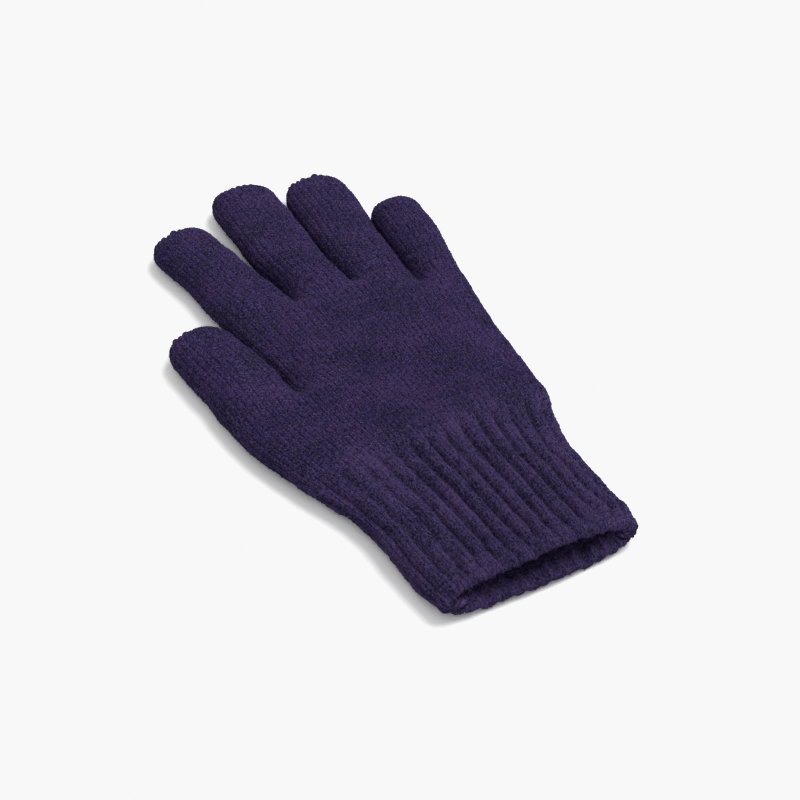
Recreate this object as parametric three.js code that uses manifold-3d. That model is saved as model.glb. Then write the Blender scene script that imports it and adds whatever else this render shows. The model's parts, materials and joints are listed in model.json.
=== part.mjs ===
// A knitted five-finger glove, lying flat with its palm side up.
//
// +Y runs from the cuff to the fingertips, +X to the little finger's side, +Z up, in millimetres.
// Plan dimensions are first laid out with x = 0 near the middle of the cuff and y = 0 at its mouth, then the
// whole glove is moved so that its origin is the bottom centre of its bounding box.
// The knit is a hollow shell. It is made of tubes whose cross-sections stand in planes of constant y, so a
// tube is a list of stations: [y, left edge, right edge, thickness].

import * as THREE from "three";
import { mergeVertices } from "three/addons/utils/BufferGeometryUtils.js";
import Module from "manifold-3d";

const wasm = await Module();
wasm.setup();

// Driving dimensions.
const WALL = 1.8; // thickness of the knit
const GAP = 0.3; // clearance between touching pieces
const FINGER_T = 11; // flattened thickness of a finger
const HAND_T = 13.5; // of the hand
const CUFF_T = 14.5; // of the cuff
const TIP_T = 7; // of a finger just before its closed end
const AXIS_Z = 5.5; // height of the finger joints' axes
const WRIST_Z = 6.5; // height of the wrist joint's axis
const LAYOUT_CENTRE = [-6.25, 113.7]; // plan centre of the bounding box
const JOINT_CLEARANCE = 0.5; // between the two faces of a joint, at its axis
const SPARE_ANGLE = 1.5; // degrees that each face of a joint leans back past its share of the range

// Where the pieces meet, along y.
const LIP_LOW = -5.3; // end of the lower lip of the mouth
const LIP_HIGH = 1.2; // end of the upper lip, which is shorter
const WELT_TOP = 5; // welt to cuff
const WRIST_Y = 68; // wrist joint
const PALM_SPLIT = 116; // lower palm to upper palm, at the thumb crotch

// Ranges of the joints in degrees: the notch above each axis is cut for them.
const KNUCKLE_MAX = 75;
const MIDDLE_MAX = 80;
const WRIST_MAX = 55;

// Section quality and trim.
const SECTION_POINTS = 16;
const SQUARENESS = 2.6; // superellipse exponent of the cross-sections
const TIP_STATIONS = [0.4, 0.7, 0.88, 1]; // shares of a fingertip's rounded length
const TIP_NARROWING = 0.62; // share of its width that a finger loses at its closed end
const TIP_TURN = 0.6; // how far the closed end's middle moves over to the tip
const SEAM_R = 1.1; // closing seam round a fingertip
const SEAM_STEPS = 12;
const ELASTIC_R = 0.6;
const ELASTIC_Y = [16, 32, 48];
const ELASTIC_STEPS = 28;
const ELASTIC_SIDES = 6;
const KNOT_R = 1.4;
const KNOT_Z = 5; // height of the knots inside the hand
const WELT_WALL = 1.4 * WALL;

// Planes that the cutting prisms reach to, clear of the whole glove.
const BELOW = -10;
const ABOVE = 40;
const FAR = 300;
const ACROSS = 160;

// Edges of the hand and the cuff, as [y, left, right].
const HAND_EDGES = [
  [68, -51.4, 43], [75, -54.8, 44.4], [83, -57.8, 45.2], [101, -62.8, 46], [116, -64.7, 47.6],
];
const UPPER_EDGES = [
  [116, -35.2, 47.6], [130, -37.8, 47.8], [140, -39.8, 40], [150, -42, 32.6], [156, -43.4, 32.4],
];
const CUFF_EDGES = [
  [5, -37.6, 38.6], [18, -38.9, 39.2], [29, -40, 38.7], [40, -41.7, 38.4], [51, -45, 38.7], [60, -48, 40.2],
  [68, -51.4, 43],
];
const WELT_EDGES = [[LIP_LOW, -31.5, 31], [-3, -34.6, 34.2], [0, -36.6, 37], [WELT_TOP, -37.6, 38.6]];

// Each digit: the y of its base joint and of its middle joint, its tip as [x, y], and the left and right
// edges of its straight part, from its root inside the palm, as [y, left, right].
const DIGITS = {
  thumb: {
    knuckle: 121, middle: 139, tip: [-55, 161.5],
    edges: [
      [96, -61.8, -36.4], [121, -65, -37], [133, -66.4, -39.4], [146, -68.6, -41.6], [150, -68.2, -42.6],
    ],
  },
  index: {
    knuckle: 165, middle: 191, tip: [-37, 218.5],
    edges: [[140, -40, -14.6], [165, -44.8, -15.6], [185, -47, -21.4], [197, -49.2, -24], [206, -51.4, -26]],
  },
  middle: {
    knuckle: 165, middle: 197, tip: [-5, 233],
    edges: [[140, -13.6, 9.5], [165, -14.6, 8.8], [180, -19.6, 7.8], [200, -20, 7.8], [219, -19.6, 7.6]],
  },
  ring: {
    knuckle: 165, middle: 194, tip: [22, 226],
    edges: [[140, 10.5, 32.4], [165, 9.8, 32.6], [183, 9, 33.2], [197, 8.8, 34.3], [211, 9.2, 34.4]],
  },
  little: {
    knuckle: 154, middle: 175, tip: [45, 199],
    edges: [[128, 33.4, 48.4], [154, 33.7, 51.8], [170, 34.2, 54.3], [181, 35, 56], [187, 35.6, 55.4]],
  },
};

// Yarn-end knots sit inside the hand, behind each crotch: [x, y].
const KNOTS = {
  thumb_crotch_knot: [-36.5, 108],
  index_crotch_knot: [-14.5, 146],
  middle_crotch_knot: [9.8, 146],
  ring_crotch_knot: [30, 130],
};

const MATERIALS = {
  knit: { color: 0x332a47, roughness: 0.95 },
  rib: { color: 0x302845, roughness: 0.95 },
  welt: { color: 0x2c2440, roughness: 0.95 },
  seam: { color: 0x3a3050, roughness: 0.9 },
  elastic: { color: 0x1f1b2c, roughness: 0.7 },
};

const glove = new THREE.Group();
glove.position.set(-LAYOUT_CENTRE[0], -LAYOUT_CENTRE[1], 0);

function addPiece(name, geometry, material) {
  const look = new THREE.MeshStandardMaterial({ ...MATERIALS[material], metalness: 0 });
  const piece = new THREE.Mesh(geometry, look);
  piece.name = name;
  glove.add(piece);
}

// Closed cross-section between x0 and x1, from z0 up by t. Its lowest and highest sides are flat strips.
function section(x0, x1, z0, t) {
  const step = (2 * Math.PI) / SECTION_POINTS;
  const bend = (v) => Math.sign(v) * Math.abs(v) ** (2 / SQUARENESS);
  const flat = bend(Math.cos(step / 2));
  const points = [];
  for (let i = 0; i < SECTION_POINTS; i++) {
    const a = (i + 0.5) * step;
    const x = (x0 + x1) / 2 + ((x1 - x0) / 2) * (bend(Math.cos(a)) / flat);
    const z = z0 + t / 2 + (t / 2) * (bend(Math.sin(a)) / flat);
    points.push([x, z]);
  }
  return points;
}

// Stations of a tube of one thickness, from its edges.
function thickAs(edges, t) {
  return edges.map(([y, x0, x1]) => [y, x0, x1, t]);
}

// Solid through stations [y, x0, x1, t], pulled in by inset on every side but its ends.
function tube(stations, inset = 0) {
  const n = SECTION_POINTS;
  const positions = [];
  for (const [y, x0, x1, t] of stations) {
    for (const [x, z] of section(x0 + inset, x1 - inset, inset, t - 2 * inset)) positions.push(x, y, z);
  }
  const faces = [];
  for (let s = 0; s + 1 < stations.length; s++) {
    for (let i = 0; i < n; i++) {
      const a = s * n + i;
      const b = s * n + ((i + 1) % n);
      faces.push(a, a + n, b, b, a + n, b + n);
    }
  }
  const last = (stations.length - 1) * n;
  for (let i = 1; i + 1 < n; i++) {
    faces.push(0, i, i + 1, last, last + i + 1, last + i);
  }
  const vertProperties = new Float32Array(positions);
  const triVerts = new Uint32Array(faces);
  return new wasm.Manifold(new wasm.Mesh({ numProp: 3, vertProperties, triVerts }));
}

// three.js geometry to a manifold solid, and back.
function toSolid(geometry) {
  const merged = geometry.clone();
  merged.deleteAttribute("normal");
  merged.deleteAttribute("uv");
  const g = mergeVertices(merged);
  const vertProperties = g.attributes.position.array;
  const triVerts = new Uint32Array(g.index.array);
  return new wasm.Manifold(new wasm.Mesh({ numProp: 3, vertProperties, triVerts }));
}

function toGeometry(solid) {
  const mesh = solid.getMesh();
  const geometry = new THREE.BufferGeometry();
  geometry.setAttribute("position", new THREE.BufferAttribute(mesh.vertProperties, 3));
  geometry.setIndex(new THREE.BufferAttribute(mesh.triVerts, 1));
  geometry.computeVertexNormals();
  return geometry;
}

// Prism with the outline [[y, z], ...] in the plane across x, wide enough to cross the whole glove.
function crossPrism(outline) {
  const shape = new THREE.Shape(outline.map(([y, z]) => new THREE.Vector2(y, z)));
  const geometry = new THREE.ExtrudeGeometry(shape, { depth: ACROSS, bevelEnabled: false });
  geometry.rotateY(Math.PI / 2);
  geometry.rotateX(Math.PI / 2);
  geometry.translate(-ACROSS / 2 + LAYOUT_CENTRE[0], 0, 0);
  return toSolid(geometry);
}

// What a piece keeps on one side of a joint at y, whose axis is at height z: side is +1 towards the
// fingertips and -1 towards the cuff. Above the axis the face leans back, so that the two faces meet at the
// joint's limit.
function mitre(y, z, limit, side) {
  const lean = (ABOVE - z) * Math.tan(THREE.MathUtils.degToRad(limit / 2 + SPARE_ANGLE));
  const face = y + (side * JOINT_CLEARANCE) / 2;
  const far = side * FAR;
  return crossPrism([[face, BELOW], [face, z], [face + side * lean, ABOVE], [far, ABOVE], [far, BELOW]]);
}

// What a piece keeps between two plain cuts across y.
function slab(from, to) {
  return crossPrism([[from, BELOW], [to, BELOW], [to, ABOVE], [from, ABOVE]]);
}

// Stations of a whole digit from its root in the palm, which is moved back by rootExtra, to its closed tip,
// which is moved back by shrink.
function digitStations(digit, shrink, rootExtra) {
  const straight = thickAs(digit.edges, FINGER_T);
  straight[0][0] -= rootExtra;
  const [y1, left, right] = straight[straight.length - 1];
  const [tipX, tipY] = digit.tip;
  const rounding = TIP_STATIONS.map((u) => {
    const half = ((right - left) / 2) * (1 - TIP_NARROWING * u ** SQUARENESS);
    const middleX = THREE.MathUtils.lerp((left + right) / 2, tipX, TIP_TURN * u ** 2);
    const y = THREE.MathUtils.lerp(y1, tipY - shrink, u);
    return [y, middleX - half, middleX + half, THREE.MathUtils.lerp(FINGER_T, TIP_T, u ** 2)];
  });
  return [...straight, ...rounding];
}

// The seam's bead lies past the closed end, so the digit stops short of its tip by the bead and a gap.
function digitBody(digit) {
  return tube(digitStations(digit, 2 * SEAM_R + GAP, 0));
}

function digitCavity(digit) {
  return tube(digitStations(digit, 2 * SEAM_R + GAP + WALL, 1), WALL);
}

// A digit's tube, cut across at its two joints into a base and a tip segment.
function addDigit(name, digit) {
  const shell = digitBody(digit).subtract(digitCavity(digit));
  const fromKnuckle = mitre(digit.knuckle, AXIS_Z, KNUCKLE_MAX, 1);
  const toMiddle = mitre(digit.middle, AXIS_Z, MIDDLE_MAX, -1);
  const fromMiddle = mitre(digit.middle, AXIS_Z, MIDDLE_MAX, 1);
  addPiece(`${name}_base`, toGeometry(shell.intersect(fromKnuckle).intersect(toMiddle)), "knit");
  addPiece(`${name}_tip`, toGeometry(shell.intersect(fromMiddle)), "knit");
}

// The row of loops that closes a digit: a thin bead round the end of its tip, half-way up.
function addClosingSeam(name, digit) {
  const end = digitStations(digit, SEAM_R, 0).slice(-TIP_STATIONS.length);
  const reach = 0.75 * (SEAM_R + GAP);
  const height = (FINGER_T + TIP_T) / 4;
  const left = end.map(([y, x0]) => new THREE.Vector3(x0 - reach, y, height));
  const right = end.map(([y, , x1]) => new THREE.Vector3(x1 + reach, y, height)).reverse();
  const path = new THREE.CatmullRomCurve3([...left.slice(1), ...right.slice(0, -1)], false, "centripetal");
  const round = new THREE.Shape();
  round.absarc(0, 0, SEAM_R, 0, 2 * Math.PI);
  const options = { steps: SEAM_STEPS, curveSegments: 3, extrudePath: path };
  const geometry = new THREE.ExtrudeGeometry(round, options);
  addPiece(name, toGeometry(toSolid(geometry)), "seam");
}

// The same stations, run on past both ends so that a cavity opens there.
function runPast(stations) {
  const first = [...stations[0]];
  const last = [...stations[stations.length - 1]];
  first[0] -= 2;
  last[0] += 2;
  return [first, ...stations, last];
}

// Lower palm: open towards the wrist and the upper palm, with the thumb's stub beside it.
function addLowerPalm() {
  const stations = thickAs(HAND_EDGES, HAND_T);
  const thumb = DIGITS.thumb;
  const outer = tube(stations).add(digitBody(thumb).intersect(mitre(thumb.knuckle, AXIS_Z, KNUCKLE_MAX, -1)));
  const cavity = tube(runPast(stations), WALL).add(digitCavity(thumb));
  const solid = outer.subtract(cavity).intersect(mitre(WRIST_Y, WRIST_Z, WRIST_MAX, 1));
  addPiece("lower_palm", toGeometry(solid), "knit");
}

// Upper palm: open towards the lower palm, with a stub for each of the four fingers.
function addUpperPalm() {
  const stations = thickAs(UPPER_EDGES, HAND_T);
  let outer = tube(stations);
  let cavity = tube([[114, -35.2, 47.6, HAND_T], ...stations.slice(0, -1), [154, -43, 32.4, HAND_T]], WALL);
  for (const name of ["index", "middle", "ring", "little"]) {
    const finger = DIGITS[name];
    outer = outer.add(digitBody(finger).intersect(mitre(finger.knuckle, AXIS_Z, KNUCKLE_MAX, -1)));
    cavity = cavity.add(digitCavity(finger));
  }
  const solid = outer.subtract(cavity).intersect(slab(PALM_SPLIT + GAP, 200));
  addPiece("upper_palm", toGeometry(solid), "knit");
}

// Ribbed cuff, and the thick rolled welt round its mouth, whose lower lip sticks out past the upper one.
function addCuff() {
  const cuff = thickAs(CUFF_EDGES, CUFF_T);
  cuff[cuff.length - 1][3] = HAND_T;
  const sleeve = tube(cuff).subtract(tube(runPast(cuff), WALL));
  const kept = slab(WELT_TOP + GAP, 100).intersect(mitre(WRIST_Y, WRIST_Z, WRIST_MAX, -1));
  addPiece("rib_cuff", toGeometry(sleeve.intersect(kept)), "rib");

  const welt = thickAs(WELT_EDGES, CUFF_T);
  const ring = tube(welt).subtract(tube(runPast(welt), WELT_WALL));
  const aboveLip = crossPrism([[-20, 6], [LIP_HIGH - 2, 6], [LIP_HIGH, 9], [LIP_HIGH, ABOVE], [-20, ABOVE]]);
  addPiece("cuff_welt", toGeometry(ring.subtract(aboveLip)), "welt");
}

// Elastic threads lie against the inside of the cuff.
function addElasticThreads() {
  ELASTIC_Y.forEach((y, i) => {
    const next = CUFF_EDGES.findIndex(([edgeY]) => edgeY > y);
    const [before, after] = [CUFF_EDGES[next - 1], CUFF_EDGES[next]];
    const u = (y - before[0]) / (after[0] - before[0]);
    const x0 = THREE.MathUtils.lerp(before[1], after[1], u);
    const x1 = THREE.MathUtils.lerp(before[2], after[2], u);
    const inset = WALL + GAP * 2 + ELASTIC_R;
    const loop = section(x0 + inset, x1 - inset, inset, CUFF_T - 2 * inset);
    const points = loop.map(([x, z]) => new THREE.Vector3(x, y, z));
    const path = new THREE.CatmullRomCurve3(points, true, "centripetal");
    const positions = [];
    for (let s = 0; s < ELASTIC_STEPS; s++) {
      const p = path.getPointAt(s / ELASTIC_STEPS);
      const along = path.getTangentAt(s / ELASTIC_STEPS);
      const out = new THREE.Vector3().crossVectors(along, new THREE.Vector3(0, 1, 0)).normalize();
      for (let k = 0; k < ELASTIC_SIDES; k++) {
        const a = (2 * Math.PI * k) / ELASTIC_SIDES;
        const v = p.clone().addScaledVector(out, ELASTIC_R * Math.cos(a));
        positions.push(v.x, v.y + ELASTIC_R * Math.sin(a), v.z);
      }
    }
    const faces = [];
    for (let s = 0; s < ELASTIC_STEPS; s++) {
      for (let k = 0; k < ELASTIC_SIDES; k++) {
        const a = s * ELASTIC_SIDES + k;
        const b = s * ELASTIC_SIDES + ((k + 1) % ELASTIC_SIDES);
        const c = ((s + 1) % ELASTIC_STEPS) * ELASTIC_SIDES + k;
        const d = ((s + 1) % ELASTIC_STEPS) * ELASTIC_SIDES + ((k + 1) % ELASTIC_SIDES);
        faces.push(a, c, b, b, c, d);
      }
    }
    const geometry = new THREE.BufferGeometry();
    geometry.setAttribute("position", new THREE.Float32BufferAttribute(positions, 3));
    geometry.setIndex(faces);
    addPiece(`cuff_elastic_${i + 1}`, toGeometry(toSolid(geometry)), "elastic");
  });
}

function addKnots() {
  for (const [name, [x, y]] of Object.entries(KNOTS)) {
    const knot = new THREE.IcosahedronGeometry(KNOT_R, 1).translate(x, y, KNOT_Z);
    addPiece(name, toGeometry(toSolid(knot)), "seam");
  }
}

addLowerPalm();
addUpperPalm();
addCuff();
addElasticThreads();
addKnots();
for (const [name, digit] of Object.entries(DIGITS)) {
  addDigit(name, digit);
  addClosingSeam(`${name}_tip_seam`, digit);
}

export default glove;
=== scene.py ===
"""A knitted five-finger glove, lying palm up on a pale floor.

The knit is laid out stitch by stitch: every tube of the glove is a grid with a fixed number of mesh columns
in a wale (a column of stitches) and of mesh rows in a course (a row of stitches). Lengths are in millimetres
in the glove's own plan, with y = 0 at the mouth of the cuff, until placed() moves them into the frame.
"""

import json
import math

import bpy
import numpy as np
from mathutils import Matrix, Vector


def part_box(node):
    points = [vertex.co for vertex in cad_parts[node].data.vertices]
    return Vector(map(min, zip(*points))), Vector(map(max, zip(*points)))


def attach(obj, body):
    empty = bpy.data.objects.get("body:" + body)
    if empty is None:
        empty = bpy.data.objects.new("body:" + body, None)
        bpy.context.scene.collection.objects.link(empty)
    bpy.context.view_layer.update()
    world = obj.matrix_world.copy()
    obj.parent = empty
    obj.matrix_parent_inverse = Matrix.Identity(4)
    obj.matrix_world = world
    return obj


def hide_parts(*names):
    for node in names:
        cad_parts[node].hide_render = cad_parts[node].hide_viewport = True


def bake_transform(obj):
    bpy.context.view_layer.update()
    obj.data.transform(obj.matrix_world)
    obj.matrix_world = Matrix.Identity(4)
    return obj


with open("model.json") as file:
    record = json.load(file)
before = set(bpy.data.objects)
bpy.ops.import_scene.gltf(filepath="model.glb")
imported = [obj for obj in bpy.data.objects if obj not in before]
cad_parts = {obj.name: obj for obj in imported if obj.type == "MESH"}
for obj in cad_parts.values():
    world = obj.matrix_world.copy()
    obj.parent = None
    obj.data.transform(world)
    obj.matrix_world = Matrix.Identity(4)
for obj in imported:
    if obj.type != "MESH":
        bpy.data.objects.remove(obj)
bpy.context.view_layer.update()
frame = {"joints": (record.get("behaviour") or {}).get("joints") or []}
MM = 0.001
UP = np.array([0.0, 0.0, 1.0])
TOWARDS_FINGERS = np.array([0.0, 1.0, 0.0])
NUDGE = 1e-6  # keeps rounding from moving a corner into the next stitch

# The knit. A wale's number on the lower half is WALES_ROUND less its twin's on the upper half.
WALE = 2.5  # width of a stitch
COURSE = 1.85  # height of a stitch
COLUMNS = 4  # mesh columns in a wale
ROWS = 3  # mesh rows in a course
INNER_STEP = 2  # mesh columns of the outer layer for each one of the inner layer
STITCH_RELIEF = 0.62
LEG_SLOPE = 1.15  # courses that a stitch's leg climbs from the middle of its wale to the edge
WALL = 1.5  # thickness of the knit
HAND_WALES, PALM_WALES, FINGERS_WALES, THUMB_WALES, LITTLE_WALES = 50, 38, 30, 12, 8  # on one half
THREE_WALES = (11, 10, 9)  # of the index, middle and ring finger
WALES_ROUND = 2 * HAND_WALES

# The cuff.
RIBS = 15  # on each side
RIB_RELIEF = 2.7
RIB_END, RIB_FADE = 71.0, 10.0  # where the ribs end, and how far below it they are at full depth
RIB_COURSES = (35.0, 44.0)  # over which the ribs' look turns into the hand's
CUFF_WALL = 2.2
LIP_WALL = 3.3  # at the mouth
HALF_MOUTH = 39.0
LIP_STEPS = 8  # mesh rows round the lip
LIP_COURSES = 2.4  # courses round the lip
INNER_RELIEF = 0.6  # of the stitches inside the mouth, as a share of the outer ones
ELASTIC_DEPTH = 0.35  # of an elastic thread inside the cuff's inner face

# Loose fibres.
FIBRE_LENGTH = 1.6
FIBRES_PER_MM2 = 0.38
LONG_SHARE, LONG_FACTOR = 0.08, 1.7  # how many are longer, and by how much
FIBRE_ROOT, FIBRE_MIDDLE = 0.055, 0.042  # radii
FIBRE_SIDES = 3
FIBRE_FLOOR = 0.05  # lowest that a fibre hangs

# Sections. The exponents are those of superellipses.
SIDE_Z = 5.0  # height above the floor where the upper and the lower half of every tube meet
ROUND_TOP = 2.35  # the hand's and the cuff's upper half
ROUND_DIGIT = 2.0  # a digit's upper half
ROUND_BOTTOM = 3.4  # every lower half
LOBE_TOP = 7.0  # height of a digit above its sides, at its crotch
ARC_POINTS = 241  # points that measure a half section's arc

# Places along the glove, and the number of the course at each.
STATIONS = (0.0, 5.5, 80.0, 116.0, 149.0, 160.0)
MOUTH, WELT_TOP, CUFF_TOP, THUMB_CROTCH, LITTLE_CROTCH, FINGER_CROTCH = STATIONS
STATION_COURSES = (0, 3, 43, 62, 80, 86)
PALM_JOINING, HAND_JOINING = 11.0, 14.0  # lengths below a crotch over which the digits part
PINCH_LENGTH, PINCH_WALES = 4.0, 1.1  # reach of a crotch's pinch, along the glove and across it
NO_NEIGHBOUR = 99.0  # distance in wales from a digit that isn't there

# The plan's point that is the frame's origin, from the wrist joint.
WRIST_X, WRIST_Y = -4.2, 68.0
WRIST_JOINT = next(joint["pos_m"] for joint in frame["joints"] if joint["name"] == "wrist_fold")
CENTRE = np.array([WRIST_X - WRIST_JOINT[0] / MM, WRIST_Y - WRIST_JOINT[1] / MM])


def placed(points):
    """Plan points in millimetres to points of the frame in metres."""
    moved = np.array(points, float)
    moved[..., :2] -= CENTRE
    return moved * MM


def smooth(t):
    t = np.clip(t, 0.0, 1.0)
    return t * t * (3 - 2 * t)


def curve(*points):
    """A smooth line through (place, value) points, as a function of the place."""
    at, value = np.array(points, float).T
    slope = np.gradient(value, at)

    def read(y):
        y = np.clip(y, at[0], at[-1])
        i = np.clip(np.searchsorted(at, y, side="right") - 1, 0, len(at) - 2)
        step = at[i + 1] - at[i]
        t = (y - at[i]) / step
        return (
            (2 * t**3 - 3 * t**2 + 1) * value[i]
            + (t**3 - 2 * t**2 + t) * step * slope[i]
            + (3 * t**2 - 2 * t**3) * value[i + 1]
            + (t**3 - t**2) * step * slope[i + 1]
        )

    return read


# Edges of the hand and the cuff, and the lines between the digits' wales, as x against y.
HAND_LEFT = curve(
    (-6, -37), (4, -39), (18, -40.6), (40, -42.6), (51, -45.6), (73, -54.7), (91, -61), (116, -65.1)
)
HAND_RIGHT = curve(
    (-6, 37.2), (6, 39.4), (29, 38.3), (52, 38.7), (60, 41.1), (69, 44.4), (82, 44.9), (101, 45.9),
    (116, 47.4), (149, 51)
)
PALM_LEFT = curve((100, -35.2), (116, -35.6), (130, -37.6), (150, -42), (160, -44))
LINES = {
    "thumb": curve((-6, -18.6), (68, -28.7), (90, -33), (116, -35.6)),
    "index": curve((-6, -2.7), (68, -8), (116, -12.3), (160, -14.6)),
    "middle": curve((-6, 11.5), (68, 10.9), (116, 9.9), (160, 9.6)),
    "ring": curve((-6, 24.6), (68, 27.9), (116, 29.8), (149, 32.9), (160, 32.6)),
}
LINE_WALE = {"thumb": 12, "index": 23, "middle": 33, "ring": 42}
TOP_HEIGHT = curve((-6, 8.6), (20, 9), (60, 8.6), (100, 8.6), (130, 8.2), (149, 7.2), (160, 6.4))

# Each digit: where it starts, the courses up to its middle joint's seam, the end of its straight part, its
# tip, its lean in degrees, how long its tip stays thick (flat), its first wale in the palm, its wales there,
# those that it gains there on its left and right, whether another digit touches it there, and its edges.
DIGITS = {
    "thumb": dict(
        crotch=THUMB_CROTCH, seam=10, straight=147, tip=(-55.9, 159.2), lean=7, flat=3.0, first=0, palm=12,
        gained=(0, 0), pinched=(False, True),
        left=curve((116, -65.1), (124, -65.3), (135, -66.8), (148, -68.6)),
        right=curve((116, -35.6), (124, -36.6), (135, -39), (148, -42.4)),
    ),
    "index": dict(
        crotch=FINGER_CROTCH, seam=13, straight=205, tip=(-38.9, 216.4), lean=10, flat=2.4, first=12, palm=11,
        gained=(0, 1), pinched=(False, True),
        left=curve((160, -44), (172, -45.4), (185, -46.9), (205, -51.5)),
        right=curve((160, -14.6), (168, -16.5), (178, -19.8), (190, -22.2), (205, -25)),
    ),
    "middle": dict(
        crotch=FINGER_CROTCH, seam=13, straight=220, tip=(-5.3, 231.5), lean=0, flat=2.4, first=23, palm=10,
        gained=(1, 1), pinched=(True, True),
        left=curve((160, -14.6), (168, -15.4), (180, -17.9), (200, -18.9), (220, -19.2)),
        right=curve((160, 9.6), (168, 8.4), (180, 8), (200, 8.1), (220, 7.9)),
    ),
    "ring": dict(
        crotch=FINGER_CROTCH, seam=13, straight=211, tip=(22.2, 224), lean=-2, flat=2.4, first=33, palm=9,
        gained=(1, 1), pinched=(True, True),
        left=curve((160, 9.6), (168, 8.6), (183, 8.6), (200, 8.8), (212, 8.8)),
        right=curve((160, 32.6), (168, 32.8), (183, 33.6), (197, 35), (212, 35)),
    ),
    "little": dict(
        crotch=LITTLE_CROTCH, seam=11, straight=186, tip=(44.8, 195.2), lean=-5, flat=2.7, first=42, palm=8,
        gained=(2, 0), pinched=(True, False),
        left=curve((149, 32.9), (158, 33), (170, 33.4), (188, 34)),
        right=curve((149, 51), (160, 53), (172, 54.8), (188, 55.7)),
    ),
}
DIGIT_TOP = curve((0, 7), (20, 7), (45, 6.6), (60, 6.2))  # height above the sides against place on it
TIP_ROUND = 2.3  # superellipse exponent of a fingertip, in plan and in height
TIP_LIFT = 1.2  # of the closed end over the sides
TIP_END = 0.66  # share of the width that the closed end spans
TIP_CURVE = 1.25  # length over a fingertip, as a share of how far it reaches
CLOSED_ANGLE = 1.57  # angle round the tip of its closed end's row
GROWING, LEANING = 9.0, 16.0  # lengths over which a digit takes its own wales and its lean
LOOP_PITCH = 2.3  # between the loops that close a fingertip

CROTCHES = (
    (THUMB_CROTCH, LINE_WALE["thumb"]), (LITTLE_CROTCH, LINE_WALE["ring"]),
    (FINGER_CROTCH, LINE_WALE["index"]), (FINGER_CROTCH, LINE_WALE["middle"]),
)


# Sections. Half a section is read at wale numbers and gives x, the height over the side line, and the share
# of the half's arc to its left.


def half(x0, x1, height, wales, count, exponent, knots=()):
    """Half a superellipse from x0 to x1. knots are (wale, x) pairs that say where its wales run."""
    middle, reach = (x0 + x1) / 2, (x1 - x0) / 2
    angle = np.linspace(math.pi, 0, ARC_POINTS)
    x = middle + reach * np.sign(np.cos(angle)) * np.abs(np.cos(angle)) ** (2 / exponent)
    h = height * np.sin(angle).clip(0) ** (2 / exponent)
    arc = np.concatenate([[0], np.cumsum(np.hypot(np.diff(x), np.diff(h)))])
    arc /= arc[-1]
    at = [0.0] + [wale for wale, _ in knots] + [float(count)]
    share = [0.0] + [float(np.interp(place, x, arc)) for _, place in knots] + [1.0]
    f = np.interp(wales, at, share)
    return np.stack([np.interp(f, arc, x), np.interp(f, arc, h), f])


def joined(*halves):
    """Half sections side by side. A point that two of them share is kept once."""
    return np.concatenate([halves[0]] + [h[:, 1:] for h in halves[1:]], axis=1)


def mixed(flat, lobes, amount):
    """A half section between one flat lobe and several lobes, with the flat one's arc shares."""
    lobes[2] = flat[2]
    return flat * (1 - amount) + lobes * amount


def knots(names, y, first=0):
    """Where the lines between the digits' wales cross a section that starts at the wale called first."""
    return [(LINE_WALE[name] - first, float(LINES[name](y))) for name in names]


def wale_steps(count, step=1):
    """Wale numbers of the mesh columns over some wales."""
    return np.arange(0, count * COLUMNS + 1, step) / COLUMNS


def half_shape(y, top):
    """Height and exponent of a half section of the hand, and those of its lobes."""
    if top:
        return float(TOP_HEIGHT(y)), ROUND_TOP, LOBE_TOP, ROUND_DIGIT
    return SIDE_Z, ROUND_BOTTOM, SIDE_Z, ROUND_BOTTOM


def fingers_half(y, top, step):
    """The three-finger palm, between the little finger's crotch and the others'."""
    left, right = float(PALM_LEFT(y)), float(LINES["ring"](y))
    height, exponent, lobe, lobe_exponent = half_shape(y, top)
    wales, lines = wale_steps(FINGERS_WALES, step), knots(["index", "middle"], y, THUMB_WALES)
    flat = half(left, right, height, wales, FINGERS_WALES, exponent, lines)
    amount = smooth((y - LITTLE_CROTCH) / (FINGER_CROTCH - LITTLE_CROTCH))
    if amount == 0:
        return flat
    edges = [left, float(LINES["index"](y)), float(LINES["middle"](y)), right]
    spans = zip(edges, edges[1:], THREE_WALES)
    lobes = [half(a, b, lobe, wale_steps(n, step), n, lobe_exponent) for a, b, n in spans]
    return mixed(flat, joined(*lobes), amount)


def palm_half(y, top, step):
    """The four-finger palm."""
    left = float(PALM_LEFT(y)) if y > THUMB_CROTCH else float(LINES["thumb"](y))
    right, ring = float(HAND_RIGHT(y)), float(LINES["ring"](y))
    height, exponent, lobe, lobe_exponent = half_shape(y, top)
    lines = knots(["index", "middle", "ring"], y, THUMB_WALES)
    flat = half(left, right, height, wale_steps(PALM_WALES, step), PALM_WALES, exponent, lines)
    amount = smooth((y - LITTLE_CROTCH + PALM_JOINING) / PALM_JOINING)
    if amount == 0:
        return flat
    three = half(left, ring, height, wale_steps(FINGERS_WALES, step), FINGERS_WALES, exponent, lines[:2])
    little = half(ring, right, lobe, wale_steps(LITTLE_WALES, step), LITTLE_WALES, lobe_exponent)
    return mixed(flat, joined(three, little), amount)


def hand_half(y, top, step):
    """The five-finger palm and the cuff."""
    left, right, thumb = float(HAND_LEFT(y)), float(HAND_RIGHT(y)), float(LINES["thumb"](y))
    height, exponent, lobe, lobe_exponent = half_shape(y, top)
    lines = knots(["thumb", "index", "middle", "ring"], y)
    flat = half(left, right, height, wale_steps(HAND_WALES, step), HAND_WALES, exponent, lines)
    amount = smooth((y - THUMB_CROTCH + HAND_JOINING) / HAND_JOINING)
    if amount == 0:
        return flat
    own = half(left, thumb, lobe, wale_steps(THUMB_WALES, step), THUMB_WALES, lobe_exponent)
    return mixed(flat, joined(own, palm_half(y, top, step)), amount)


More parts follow.
